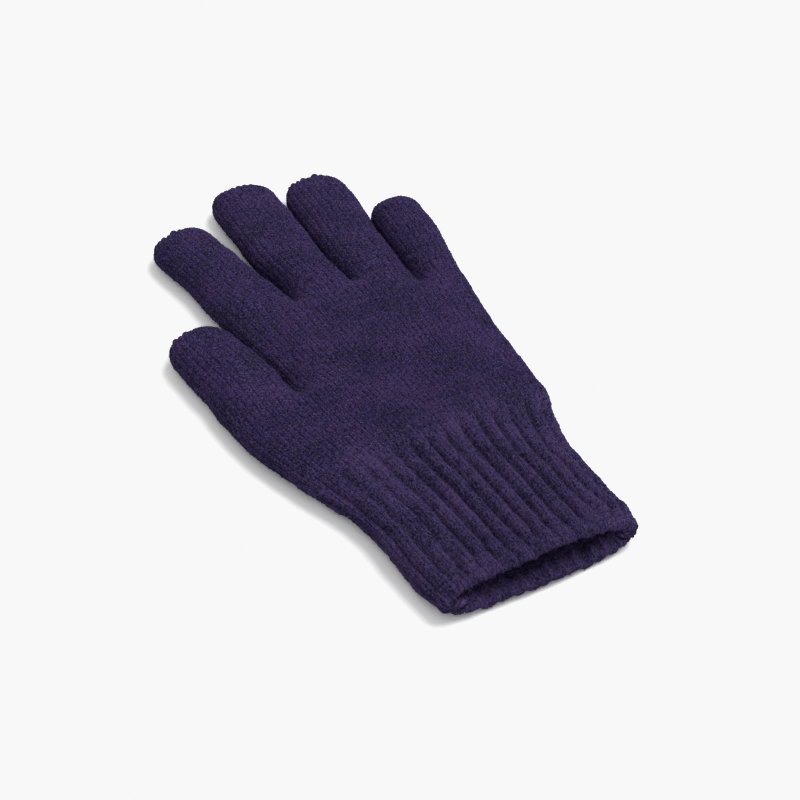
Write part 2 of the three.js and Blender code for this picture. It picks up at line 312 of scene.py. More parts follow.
def round_ring(top, bottom):
    """A closed ring: along the upper half to the right, and back along the lower half."""
    return np.concatenate([top, bottom[::-1][1:-1]])


def tube(section, ys, step=1):
    """Rings (rows, round, xyz) and arc shares (rows, round) of a tube whose sections stand at ys."""
    rings, shares = [], []
    for y in ys:
        upper, lower = section(y, True, step), section(y, False, step)
        a = np.stack([upper[0], np.full_like(upper[0], y), SIDE_Z + upper[1]], -1)
        b = np.stack([lower[0], np.full_like(lower[0], y), SIDE_Z - lower[1]], -1)
        rings.append(round_ring(a, b))
        shares.append(round_ring(upper[2], 2 - lower[2]))
    return np.array(rings), np.array(shares)


def outline(share):
    """How far a fingertip reaches at a share of its half width."""
    return np.clip(1 - np.abs(share) ** TIP_ROUND, 0, 1) ** (1 / TIP_ROUND)


def digit_wales(name):
    """Wales on one half of a digit, once it has gained those at its crotch."""
    return DIGITS[name]["palm"] + sum(DIGITS[name]["gained"])


def digit_tube(name, rows, step=1):
    """Rings of a digit, their directions, and each point's distance from a touching digit, in wales.

    Each row is a place along the plan, and the angle round the tip, which is 0 before its straight part ends.
    """
    digit = DIGITS[name]
    more_left, _ = digit["gained"]
    palm, count = digit["palm"], digit_wales(name)
    wales = wale_steps(count, step)
    rings, ways, apart = [], [], []
    for y, angle in rows:
        grown = float(smooth((y - digit["crotch"]) / GROWING))
        at = np.clip((wales - more_left) / palm, 0, 1) * count * (1 - grown) + wales * grown
        lean = math.radians(digit["lean"]) * float(smooth((y - digit["crotch"]) / LEANING))
        along = np.array([-math.sin(lean), math.cos(lean)])
        across = np.array([math.cos(lean), math.sin(lean)])
        x0, x1 = float(digit["left"](y)), float(digit["right"](y))
        reach, centre = (x1 - x0) / 2 * math.cos(lean), np.array([(x0 + x1) / 2, y])
        height = LOBE_TOP * (1 - grown) + float(DIGIT_TOP(y - digit["crotch"])) * grown
        halves = []
        for sign, h, exponent in ((1, height, ROUND_DIGIT), (-1, SIDE_Z, ROUND_BOTTOM)):
            s, up, _ = half(-reach, reach, h, at, count, exponent)
            forward = np.zeros_like(s)
            if angle:
                tip = np.array(digit["tip"]) - centre
                v, share = math.sin(angle) ** (2 / TIP_ROUND), s / reach
                forward = v * (tip @ along) * outline(share * TIP_END)
                s = share * reach * outline(v * outline(TIP_END)) + (tip @ across) * v**2 * (1 - share**2)
                up = up * (1 - v ** digit["flat"]) ** 0.8
            plan = centre + np.outer(s, across) + np.outer(forward, along)
            level = SIDE_Z + (TIP_LIFT * math.sin(angle) ** 2 if angle else 0.0)
            halves.append(np.concatenate([plan, (level + sign * up)[:, None]], axis=1))
        rings.append(round_ring(*halves))
        ways.append(np.append(along, 0.0))
        left = np.maximum(wales - more_left, 0) * (1 - grown) + wales * grown
        right = np.maximum(more_left + palm - wales, 0) * (1 - grown) + (count - wales) * grown
        far = np.full_like(wales, NO_NEIGHBOUR)
        near = np.minimum(left if digit["pinched"][0] else far, right if digit["pinched"][1] else far)
        apart.append(round_ring(near, near))
    return np.array(rings), np.array(ways), np.array(apart)


# Relief of the knit.


def scatter(*keys):
    """A repeatable random number from 0 to 1 for whole-number keys."""
    total = sum(np.floor(k) * w for k, w in zip(keys, (12.9898, 78.233, 37.719)))
    return np.mod(np.abs(np.sin(total) * 43758.5453), 1.0)


def stitch(wale, course):
    """Height from 0 to 1 of the knit surface: two legs in each stitch that open towards the fingertips."""
    side = np.abs(np.mod(wale + NUDGE, 1.0) - 0.5) * 2
    edge = np.clip((side - 0.45) / 0.55, 0, 1)
    groove = np.clip((0.45 - side) / 0.45, 0, 1)
    across = 1 - edge**2 - 0.3 * groove**2
    leg = 0.5 + 0.5 * np.cos(2 * math.pi * (course - LEG_SLOPE * side))
    own = 0.75 + 0.5 * scatter(wale + NUDGE, course - 0.3 * side + NUDGE)
    return across * (0.62 + 0.38 * leg) * own


def rib(number):
    """Height from 0 to 1 of the cuff's rib at a rib number: a round ridge beside a soft valley."""
    side = np.abs(np.mod(number, 1.0) - 0.5) * 2
    return 1 - side**2.3


def uneven(points, seed=0.0):
    """Slow unevenness of soft cloth, about -1 to 1."""
    x, y = points[..., 0] + 0.9 * points[..., 2], points[..., 1]
    total = 0
    for i, (scale, turn) in enumerate(((0.11, 0.4), (0.17, 1.9), (0.26, 2.9), (0.41, 0.9), (0.6, 2.3))):
        phase = seed + i * 2.1
        along = x * math.cos(turn) + y * math.sin(turn)
        across = y * math.cos(turn) - x * math.sin(turn)
        bend = 0.8 * np.sin(across * scale * 0.7 + phase)
        total = total + np.sin(along * scale + phase + bend) / (1 + i * 0.5)
    return total / 2.4


def outward(rings, ways):
    """Unit normals of rings, from each ring's own line and the direction of its tube."""
    normal = np.cross(np.roll(rings, -1, axis=1) - np.roll(rings, 1, axis=1), ways)
    return normal / np.maximum(np.linalg.norm(normal, axis=-1, keepdims=True), 1e-9)


def inward(rings, normals, depth):
    """A step into the tube that never passes the middle of a thin place."""
    move = -normals * np.asarray(depth)[..., None]
    room = 0.7 * np.abs(rings[..., 2] - SIDE_Z)
    move[..., 2] = np.clip(move[..., 2], -room, room)
    return move


def formed(rings, normals, shares, free):
    """The rings with the ribs and the cloth's unevenness. free is 0 where a digit touches another."""
    y = rings[..., 1]
    ribbed = smooth((RIB_END - y) / RIB_FADE)
    wander = uneven(rings * 1.6, 4.0) * (0.08 + 0.20 * smooth((26 - y) / 26))
    ridge = rib(shares * RIBS + wander)
    lumps = 0.45 * uneven(rings * 2.6, 2.0) + 0.3 * uneven(rings * 5.0, 5.0)
    bumps = ribbed * (0.5 + smooth((24 - y) / 24)) * lumps
    worn = smooth((-12 - rings[..., 0]) / 18) * smooth((rings[..., 2] - SIDE_Z) / 3)
    depth = RIB_RELIEF * ribbed * (0.35 + 0.65 * smooth((y + 1) / 13)) * (1 - 0.5 * worn)
    height = -depth * (1 - ridge) + bumps + 0.55 * uneven(rings) - 0.25
    return rings + normals * (height * free)[..., None]


def stitch_height(wales, courses, ys, shares):
    """Relief of the stitches, softer where the ribs dip."""
    ribbed = smooth((RIB_END - ys) / RIB_FADE)
    depth = STITCH_RELIEF * (1 - 0.45 * ribbed * (1 - rib(shares * RIBS)))
    return depth * (stitch(wales, courses) - 0.55)


class Knit:
    """A piece's points and faces, with the number of the wale and of the course at every corner."""

    def __init__(self):
        self.points, self.count, self.faces, self.stitches, self.flat = [], 0, [], [], []
        self.loose = []  # faces of loose fibres

    def add(self, points):
        """Adds points, and returns their numbers in the same shape."""
        flat = points.reshape(-1, 3)
        index = np.arange(self.count, self.count + len(flat)).reshape(points.shape[:-1])
        self.points.append(flat)
        self.count += len(flat)
        return index

    def face(self, corners, stitches, flat=False):
        """Adds a face without its doubled corners, or nothing if fewer than three are left."""
        kept = [i for i in range(len(corners)) if corners[i] != corners[i - 1]]
        if len(set(corners[i] for i in kept)) > 2:
            self.faces.append([corners[i] for i in kept])
            self.stitches.extend(stitches[i] for i in kept)
            self.flat.append(flat)

    def skin(self, index, numbers, courses, flipped=False):
        """Faces over rings of points. numbers are the wales of the upper half's columns."""
        n = len(numbers) - 1
        left = np.concatenate([numbers[:-1], WALES_ROUND - numbers[::-1][:-1]])
        right = np.concatenate([numbers[1:], WALES_ROUND - numbers[::-1][1:]])
        turned = np.roll(index, -1, axis=1)
        for r in range(len(index) - 1):
            v0, v1 = float(courses[r]), float(courses[r + 1])
            for c in range(2 * n):
                corners = [int(index[r, c]), int(turned[r, c]), int(turned[r + 1, c]), int(index[r + 1, c])]
                stitches = [(left[c], v0), (right[c], v0), (right[c], v1), (left[c], v1)]
                if flipped:
                    corners, stitches = corners[::-1], stitches[::-1]
                self.face(corners, stitches)

    def skins(self, outer, inner, fine, coarse):
        self.skin(outer, *fine)
        self.skin(inner, *coarse, flipped=True)

    def rim(self, outer, inner, course, towards_fingers, wrap=True):
        """Closes a piece between a ring of its outer layer and the coarser ring of its inner layer."""
        for c in range(len(inner) if wrap else len(inner) - 1):
            span = [int(outer[(c * INNER_STEP + k) % len(outer)]) for k in range(INNER_STEP + 1)]
            corners = span + [int(inner[(c + 1) % len(inner)]), int(inner[c])]
            if not towards_fingers:
                corners.reverse()
            self.face(corners, [(0.5, course)] * len(corners), flat=True)

    def made(self, name, materials):
        """The Blender object. Its loose fibres take the second material."""
        points = placed(np.concatenate(self.points))
        used, faces = np.unique(np.concatenate([np.array(f) for f in self.faces]), return_inverse=True)
        sizes = np.array([len(f) for f in self.faces])
        starts = np.concatenate([[0], np.cumsum(sizes)[:-1]])
        mesh = bpy.data.meshes.new(name)
        mesh.vertices.add(len(used))
        mesh.vertices.foreach_set("co", points[used].astype(np.float32).ravel())
        mesh.loops.add(len(faces))
        mesh.loops.foreach_set("vertex_index", faces.astype(np.int32))
        mesh.polygons.add(len(sizes))
        mesh.polygons.foreach_set("loop_start", starts.astype(np.int32))
        mesh.polygons.foreach_set("use_smooth", [not flat for flat in self.flat])
        layer = mesh.uv_layers.new(name="knit")
        layer.data.foreach_set("uv", np.array(self.stitches, np.float32).ravel())
        mesh.update(calc_edges=True)
        for material in materials:
            mesh.materials.append(material)
        slots = np.zeros(len(sizes), np.int32)
        slots[self.loose] = 1
        mesh.polygons.foreach_set("material_index", slots)
        piece = bpy.data.objects.new(name, mesh)
        bpy.context.scene.collection.objects.link(piece)
        return piece


def strand(knit, root, normal, tangent, rng):
    """One loose fibre: a thin closed taper that leaves the cloth and bends over."""
    length = FIBRE_LENGTH * rng.uniform(0.45, 1.0) * (LONG_FACTOR if rng.random() < LONG_SHARE else 1.0)
    rise = rng.uniform(0.25, 0.85)
    middle = root + (normal * rise + tangent * 0.45) * length * 0.5
    end = middle + (normal * rise * rng.uniform(-0.1, 0.6) + tangent + rng.normal(0, 0.35, 3)) * length * 0.5
    side = np.cross(normal, tangent)
    base = knit.count
    points = []
    for place, radius in ((root - normal * 0.25, FIBRE_ROOT), (middle, FIBRE_MIDDLE)):
        for k in range(FIBRE_SIDES):
            turn = 2 * math.pi * k / FIBRE_SIDES
            points.append(place + (tangent * math.cos(turn) + side * math.sin(turn)) * radius)
    points = np.array(points + [end])
    points[:, 2] = np.maximum(points[:, 2], FIBRE_FLOOR)
    knit.add(points)
    a = list(range(base, base + FIBRE_SIDES))
    b, tip = [corner + FIBRE_SIDES for corner in a], base + 2 * FIBRE_SIDES
    shells = [a[::-1]]
    for k in range(FIBRE_SIDES):
        m = (k + 1) % FIBRE_SIDES
        shells += [[a[k], a[m], b[m], b[k]], [b[k], b[m], tip]]
    stitches = tuple(rng.uniform(0, 90, 2))
    for corners in shells:
        knit.faces.append(corners)
        knit.stitches.extend([stitches] * len(corners))
        knit.flat.append(False)
        knit.loose.append(len(knit.faces) - 1)


def fluff(knit, rings, normals, seed, share=1.0):
    """Loose fibres over the outer layer, the same number for each square millimetre."""
    rng = np.random.default_rng(seed)
    across = np.linalg.norm(np.roll(rings, -1, axis=1) - rings, axis=-1)[:-1]
    along = np.linalg.norm(rings[1:] - rings[:-1], axis=-1)
    area = across * along
    chosen = np.argwhere(rng.random(area.shape) < area * FIBRES_PER_MM2 * share)
    for r, c in chosen:
        normal = normals[r, c]
        wild = rng.normal(0, 1, 3)
        tangent = wild - normal * (wild @ normal)
        tangent /= np.linalg.norm(tangent)
        strand(knit, rings[r, c], normal, tangent, rng)


def number_ring(numbers):
    """Wale numbers round a ring."""
    return round_ring(numbers, WALES_ROUND - numbers)


def crotch_distance(numbers, ys):
    """How free the palm's points are of the crotches' pinches, from 0 to 1."""
    pinch = 0
    for y, wale in CROTCHES:
        along, across = (ys - y) / PINCH_LENGTH, (numbers - wale) / PINCH_WALES
        pinch = pinch + np.exp(-(along**2)[:, None] - (across**2)[None, :])
    return 1 - np.minimum(pinch, 1)


def section_rows(start, end, per_course=ROWS):
    """Places of the rows between two stations, and their course numbers."""
    first, last = np.interp([start, end], STATIONS, STATION_COURSES)
    steps = int(round((last - first) * per_course))
    return np.linspace(start, end, steps + 1), np.linspace(first, last, steps + 1)


def mouth_bend(rings):
    """The mouth's edge runs round from the cuff's sides, so its middle hangs further out."""
    y, s = rings[..., 1], np.abs(rings[..., 0] / HALF_MOUTH)
    upper = smooth((rings[..., 2] - SIDE_Z) / 5)
    bent = rings.copy()
    bent[..., 1] = y + (-1.0 + 1.6 * s**2 + 2.0 * s**5 + 4.8 * upper * (1 - s**6)) * smooth((24 - y) / 24)
    bent[..., 2] -= 0.4 * upper * smooth((26 - y) / 26) * (1 - s**4)
    return bent


def side_roll(rings):
    """How much thicker the cuff's wall is where its mouth turns round at the sides."""
    share = np.abs(rings[..., 0] / HALF_MOUTH)
    more = np.where(rings[..., 0] < 0, 2.3 * share**6, 1.2 * share**8)
    return 1 + more * smooth((14 - rings[..., 1]) / 14)


def layers(section, ys, courses, numbers, wall=None, step=1):
    """A tube's outer layer, with the same before its stitches, the normals and the arc shares.

    If the thickness of its wall at each row is given, only the inner layer.
    """
    rings, shares = tube(section, ys, step)
    normals = outward(rings, TOWARDS_FINGERS)
    ring_numbers = number_ring(numbers)
    free = crotch_distance(round_ring(numbers, numbers), ys)
    shaped = mouth_bend(formed(rings, normals, shares, free))
    relief = stitch_height(ring_numbers[None, :], courses[:, None], ys[:, None], shares) * free
    if wall is None:
        out = shaped + normals * relief[..., None]
        out[..., 2] = np.maximum(out[..., 2], 0.0)
        return out, shaped, normals, shares
    return shaped + inward(rings, normals, np.asarray(wall)[:, None] * side_roll(rings))


def tube_shell(knit, section, start, end, first, count, wall):
    """Adds the points of a tube's outer and inner layer. Returns both layers' rings, and their numbers."""
    ys, courses = section_rows(start, end)
    numbers = first + wale_steps(count)
    points, _, normals, _ = layers(section, ys, courses, numbers)
    outer = knit.add(points)
    fluff(knit, points, normals, int(start))
    coarse_ys, coarse_courses = section_rows(start, end, 1)
    coarse = first + wale_steps(count, INNER_STEP)
    inner = knit.add(layers(section, coarse_ys, coarse_courses, coarse, wall(coarse_ys), INNER_STEP))
    return outer, inner, (numbers, courses), (coarse, coarse_courses)


def plain_wall(ys):
    return np.full_like(ys, WALL)


def cuff_wall(ys):
    return LIP_WALL + (CUFF_WALL - LIP_WALL) * smooth(ys / 12) + (WALL - CUFF_WALL) * smooth((ys - 60) / 20)


def upper_palm():
    """The four-finger palm, joined to the three-finger palm above it beside the little finger's opening."""
    knit = Knit()
    outer, inner, fine, coarse = tube_shell(
        knit, palm_half, THUMB_CROTCH, LITTLE_CROTCH, THUMB_WALES, PALM_WALES, plain_wall
    )
    outer2, inner2, fine2, coarse2 = tube_shell(
        knit, fingers_half, LITTLE_CROTCH, FINGER_CROTCH, THUMB_WALES, FINGERS_WALES, plain_wall
    )
    for one, two, columns in ((outer, outer2, COLUMNS), (inner, inner2, COLUMNS // INNER_STEP)):
        whole, part = PALM_WALES * columns, FINGERS_WALES * columns
        one[-1, 2 * whole - part] = one[-1, part]
        two[0, : part + 1] = one[-1, : part + 1]
        two[0, part + 1:] = one[-1, 2 * whole - part + 1:]
    knit.skins(outer, inner, fine, coarse)
    knit.skins(outer2, inner2, fine2, coarse2)
    knit.rim(outer[0], inner[0], fine[1][0], False)
    knit.rim(outer2[-1], inner2[-1], fine2[1][-1], True)
    little = FINGERS_WALES * COLUMNS
    far = 2 * PALM_WALES * COLUMNS - little
    little_in, far_in = little // INNER_STEP, far // INNER_STEP
    knit.rim(outer[-1, little:far + 1], inner[-1, little_in:far_in + 1], fine[1][-1], True, wrap=False)
    return knit


def band(start, end, wall):
    """A length of the whole hand's tube: the five-finger palm, or the ribs of the cuff."""
    knit = Knit()
    outer, inner, fine, coarse = tube_shell(knit, hand_half, start, end, 0, HAND_WALES, wall)
    knit.skins(outer, inner, fine, coarse)
    knit.rim(outer[0], inner[0], fine[1][0], False)
    knit.rim(outer[-1], inner[-1], fine[1][-1], True)
    return knit


def welt():
    """The cuff's thick edge: its outer side, a roll round the lip, and its inner side, all at full detail."""
    knit = Knit()
    ys, courses = section_rows(MOUTH, WELT_TOP)
    numbers = wale_steps(HAND_WALES)
    out, shaped, normals, shares = layers(hand_half, ys, courses, numbers)
    bare = tube(hand_half, ys)[0]
    thick = side_roll(bare)
    side = number_ring(numbers)
    rings, rows = list(out[::-1]), list(courses[::-1])
    radius = LIP_WALL / 2 * (1 + 0.12 * uneven(bare[0] * 2.2, 1.0))
    for k in range(1, LIP_STEPS):
        turn = math.pi * k / LIP_STEPS
        course = -k * LIP_COURSES / LIP_STEPS
        lip = shaped[0] + inward(bare[0], normals[0], radius * (1 - math.cos(turn)) * thick[0])
        lip = lip - TOWARDS_FINGERS * (radius * math.sin(turn) * thick[0] ** 0.4)[:, None]
        way = normals[0] * math.cos(turn) - TOWARDS_FINGERS * math.sin(turn)
        relief = stitch_height(side, np.full_like(side, course), np.full_like(side, MOUTH), shares[0])
        rings.append(lip + way * relief[:, None])
        rows.append(course)
    for i, y in enumerate(ys):
        course = -LIP_COURSES - courses[i]
        inside = shaped[i] + inward(bare[i], normals[i], float(cuff_wall(y)) * thick[i])
        relief = stitch_height(side, np.full_like(side, course), np.full_like(side, y), shares[i])
        weight = INNER_RELIEF if i < len(ys) - 1 else 0
        rings.append(inside - normals[i] * weight * relief[:, None])
        rows.append(course)
    rings = np.array(rings)
    rings[..., 2] = np.maximum(rings[..., 2], 0.0)
    index = knit.add(rings)
    ways = np.gradient(rings, axis=0)
    fluff(knit, rings, outward(rings, -ways), seed=7, share=1.3)
    knit.skin(index, numbers, rows, flipped=True)
    closing = np.stack([index[-1], index[0]])
    knit.skin(closing, numbers, [rows[-1], rows[0]], flipped=True)
    return knit


def digit_rows(name, part, per_course):
    """Rows of a digit's base, or of its tip, and their course numbers."""
    digit = DIGITS[name]
    first = float(np.interp(digit["crotch"], STATIONS, STATION_COURSES))
    seam = digit["crotch"] + digit["seam"] * COURSE
    if part == "base":
        steps = digit["seam"] * per_course
        ys = np.linspace(digit["crotch"], seam, steps + 1)
        return [(y, 0.0) for y in ys], first + np.arange(steps + 1) / per_course
    straight = int(round((digit["straight"] - seam) / COURSE)) * per_course
    rows = [(y, 0.0) for y in np.linspace(seam, digit["straight"], straight + 1)]
    length = np.array(digit["tip"])[1] - digit["straight"]
    turns = int(round(length * TIP_CURVE / COURSE)) * per_course
    rows += [(digit["straight"], angle) for angle in np.linspace(0, math.pi / 2, turns + 1)[1:]]
    return rows, first + digit["seam"] + np.arange(len(rows)) / per_course


def digit_layer(name, part, step=1, per_course=ROWS, wall=None):
    """A digit part's outer layer, wales, courses and normals, or its inner layer if wall is given."""
    digit = DIGITS[name]
    rows, courses = digit_rows(name, part, per_course)
    rings, ways, apart = digit_tube(name, rows, step)
    numbers = digit["first"] - digit["gained"][0] + wale_steps(digit_wales(name), step)
    normals = outward(rings, ways[:, None, :])
    tip = np.array([angle > 0 for _, angle in rows])
    if tip.any():
        along = np.gradient(rings, axis=0)
        full = outward(rings, along)
        full[-1] = full[-2]
        normals = np.where(tip[:, None, None], full, normals)
    ys = rings[..., 1]
    beyond = (np.array([y for y, _ in rows]) - digit["crotch"]) / PINCH_LENGTH
    free = 1 - np.exp(-(beyond**2)[:, None] - (apart / PINCH_WALES) ** 2)
    shares = np.zeros_like(ys)
    shaped = formed(rings, normals, shares, free)
    if part == "tip":
        shaped[-1] = rings[-1] + full[-1] * np.array([-0.7, -0.7, 0.0])
    closing = np.array([math.cos(angle) ** 0.5 if angle < CLOSED_ANGLE else 0.0 for _, angle in rows])
    if wall is None:
        relief = stitch_height(number_ring(numbers)[None, :], courses[:, None], ys, shares) * free
        out = shaped + normals * (relief * closing[:, None])[..., None]
        out[..., 2] = np.maximum(out[..., 2], 0.0)
        return out, numbers, courses, normals
    return shaped + inward(rings, normals, np.full(rings.shape[:2], wall)), numbers, courses


def zipped(index):
    """Joins the upper and the lower half of the last ring."""
    last = index[-1]
    n = len(last) // 2
    last[n + 1:] = last[1:n][::-1]


def digit_part(name, part):
    """A digit's base or its tip."""
    knit = Knit()
    outer_points, numbers, courses, normals = digit_layer(name, part)
    inner_points, inner_numbers, inner_courses = digit_layer(name, part, INNER_STEP, 1, WALL)
    outer, inner = knit.add(outer_points), knit.add(inner_points)
    if part == "tip":
        zipped(outer)
        zipped(inner)
    else:
        gather_first(outer, name, COLUMNS)
        gather_first(inner, name, COLUMNS // INNER_STEP)
    fluff(knit, outer_points, normals, DIGITS[name]["first"] + len(part))
    knit.skins(outer, inner, (numbers, courses), (inner_numbers, inner_courses))
    knit.rim(outer[0], inner[0], courses[0], False)
    if part == "base":
        knit.rim(outer[-1], inner[-1], courses[-1], True)
    return knit


def gather_first(index, name, per):
    """Makes the wales gained at a crotch, of per columns each, start from one point on each side."""
    more_left, more_right = DIGITS[name]["gained"]
    n = digit_wales(name) * per
    first = index[0]
    if more_left:
        first[1:more_left * per + 1] = first[0]
        first[len(first) - more_left * per:] = first[0]
    if more_right:
        first[n - more_right * per:n] = first[n]
        first[n + 1:n + more_right * per + 1] = first[n]


# Yarn ends, closing loops and elastic.


def cord_along(knit, path, radius, sides=6, closed=False):
    """A round yarn along points, with closed ends."""
    path = np.array(path, float)
    way = np.roll(path, -1, 0) - np.roll(path, 1, 0) if closed else np.gradient(path, axis=0)
    way /= np.linalg.norm(way, axis=1, keepdims=True)
    side = np.cross(way, UP + 0.01)
    side /= np.linalg.norm(side, axis=1, keepdims=True)
    other = np.cross(side, way)
    turns = np.linspace(0, 2 * math.pi, sides, endpoint=False)
    radius = np.broadcast_to(radius, len(path))[:, None, None]
    rings = path[:, None, :] + radius * (
        side[:, None, :] * np.cos(turns)[None, :, None] + other[:, None, :] * np.sin(turns)[None, :, None]
    )
    index = knit.add(rings)
    length = np.concatenate([[0], np.cumsum(np.linalg.norm(np.diff(path, axis=0), axis=1))])
    rows = range(len(path)) if closed else range(len(path) - 1)
    for r in rows:
        after = (r + 1) % len(path)
        v0, v1 = float(length[r]), float(length[r]) + 0.5
        for c in range(sides):
            m = (c + 1) % sides
            corners = [int(index[r, c]), int(index[r, m]), int(index[after, m]), int(index[after, c])]
            u0, u1 = c / sides, (c + 1) / sides
            knit.face(corners, [(u0, v0), (u1, v0), (u1, v1), (u0, v1)])
    if not closed:
        knit.face([int(i) for i in index[0][::-1]], [(0.5, 0.0)] * sides)
        knit.face([int(i) for i in index[-1]], [(0.5, 0.0)] * sides)


def closing_loops(name):
    """The row of small loops that closes a fingertip."""
    knit = Knit()
    points = digit_layer(name, "tip")[0][-1]
    n = len(points) // 2
    edge = points[: n + 1]
    run = np.concatenate([[0], np.cumsum(np.linalg.norm(np.diff(edge, axis=0), axis=1))])
    count = int(run[-1] / LOOP_PITCH)
    rng = np.random.default_rng(DIGITS[name]["first"] + 60)
    centre = edge.mean(axis=0) - np.array([0.0, 8.0, 0.0])

    def spot(length):
        return np.array([np.interp(length, run, edge[:, i]) for i in range(3)])

    for k in range(count + 1):
        length = run[-1] * k / count
        place, chord = spot(length), spot(min(length + 1.0, run[-1])) - spot(max(length - 1.0, 0.0))
        tangent = chord / np.linalg.norm(chord)
        out = np.cross(tangent, UP)
        if out @ (place - centre) < 0:
            out = -out
        tilt = rng.uniform(-0.5, 0.5)
        out = out * math.cos(tilt) + UP * abs(math.sin(tilt))
        size = rng.uniform(0.8, 1.45) * (1 - 0.35 * abs(2 * k / count - 1) ** 4)
        wide, tall = tangent * 0.85 * size, 1.15 * size
        turns = np.linspace(-0.35, math.pi + 0.35, 8)
        path = [place + wide * math.cos(t) + out * (math.sin(t) * tall - 0.45) for t in turns]
        cord_along(knit, path, 0.55 * size)
    return knit


def elastic_thread(y):
    """A thin elastic laid in along the inside of the cuff, pulled straight across the dips of the ribs."""
    numbers = wale_steps(HAND_WALES, INNER_STEP)
    ys, courses = np.array([y]), np.array([y / COURSE])
    path = layers(hand_half, ys, courses, numbers, cuff_wall(ys) + ELASTIC_DEPTH, INNER_STEP)[0]
    calm = (np.roll(path, 1, 0) + path + np.roll(path, -1, 0)) / 3
    knit = Knit()
    cord_along(knit, calm, 0.32, sides=5, closed=True)
    return knit


def yarn_knot(node):
    """A small overhand knot with two cut ends, where a digit's yarn is tied off inside the hand."""
    low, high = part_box(node)
    middle = np.array((low + high) / 2) / MM
    middle[:2] += CENTRE
    size = 0.42 * min((high - low)[i] for i in range(3)) / MM
    turn = np.linspace(0, 2 * math.pi, 40)[2:-2]
    loop = np.stack([
        np.sin(turn) + 2 * np.sin(2 * turn), np.cos(turn) - 2 * np.cos(2 * turn), -1.3 * np.sin(3 * turn)
    ], -1) * size / 3.2 + middle
    first_way, last_way = loop[0] - loop[1], loop[-1] - loop[-2]
    tails = [loop[0] + first_way * k * 1.2 - TOWARDS_FINGERS * 0.2 * k * k for k in (3, 2, 1)]
    ends = [loop[-1] + last_way * k * 1.1 - TOWARDS_FINGERS * 0.3 * k * k for k in (1, 2, 3)]
    knit = Knit()
    cord_along(knit, np.concatenate([tails, loop, ends]), 0.3)
    return knit


# Materials.


class Nodes:
    """A material's node tree, with short calls for the nodes that it uses."""

    def __init__(self, name):
        self.material = bpy.data.materials.new(name)
        self.material.use_nodes = True
        self.tree = self.material.node_tree
        self.shader = self.tree.nodes["Principled BSDF"]

    def put(self, socket, value):
        """Links a socket, or sets it if the value is a number or a colour."""
        if isinstance(value, bpy.types.NodeSocket):
            self.tree.links.new(value, socket)
        else:
            socket.default_value = value

    def add(self, kind, inputs, output=0, **settings):
        """A new node's output. inputs are values or links, by a socket's name or number."""
        node = self.tree.nodes.new(kind)
        for name, value in settings.items():
            setattr(node, name, value)
        for key, value in inputs.items():
            self.put(node.inputs[key], value)
        return node.outputs[output]

    def math(self, operation, *values):
        return self.add("ShaderNodeMath", dict(enumerate(values)), operation=operation)

    def plus(self, one, two):
        return self.math("ADD", one, two)

    def minus(self, one, two):
        return self.math("SUBTRACT", one, two)

    def times(self, one, two):
        return self.math("MULTIPLY", one, two)

    def total(self, first, *parts):
        """The sum of (value, weight) parts."""
        result = self.times(*first)
        for part in parts:
            result = self.plus(result, self.times(*part))
        return result

    def knit_numbers(self):
        """The knit's own coordinates, and the numbers of the wale and of the course in them."""
        place = self.add("ShaderNodeUVMap", {}, uv_map="knit")
        split = self.tree.nodes.new("ShaderNodeSeparateXYZ")
        self.put(split.inputs[0], place)
        return place, split.outputs[0], split.outputs[1]

    def vector(self, x, y, z=0.0):
        return self.add("ShaderNodeCombineXYZ", {0: x, 1: y, 2: z})

    def noise(self, vector, scale, detail=2.0, roughness=0.5, distortion=0.0):
        inputs = {"Scale": scale, "Detail": detail, "Roughness": roughness, "Distortion": distortion}
        return self.add("ShaderNodeTexNoise", {"Vector": vector, **inputs}, "Fac")

    def ramp(self, value, low, high, out_low=0.0, out_high=1.0):
        inputs = dict(enumerate((value, low, high, out_low, out_high)))
        return self.add("ShaderNodeMapRange", inputs, interpolation_type="SMOOTHSTEP")

    def mix(self, amount, one, two):
        return self.add("ShaderNodeMix", {0: amount, 6: one, 7: two}, 2, data_type="RGBA")

    def bump(self, height, distance, strength):
        return self.add("ShaderNodeBump", {"Strength": strength, "Distance": distance, "Height": height})

    def finish(self, settings):
        for socket, value in settings.items():
            self.put(self.shader.inputs[socket], value)
        return self.material


def rgb(r, g, b):
    return (r, g, b, 1.0)


# Linear colours of the yarn.
NAVY = rgb(0.040, 0.029, 0.152)
PLUM = rgb(0.059, 0.029, 0.136)
# Painted shade: the dark of the gaps between stitches, and between the plies of a bare yarn.
SHADED_GAP = rgb(0.007, 0.004, 0.022)
# Pale flecks and lint, and the painted sheen mixed into the cuff.
FLECK_AND_SHEEN = rgb(0.24, 0.18, 0.36)
TONES = ((0.8, 1.6), (0.38, 1.0))  # scale and weight of its mottles


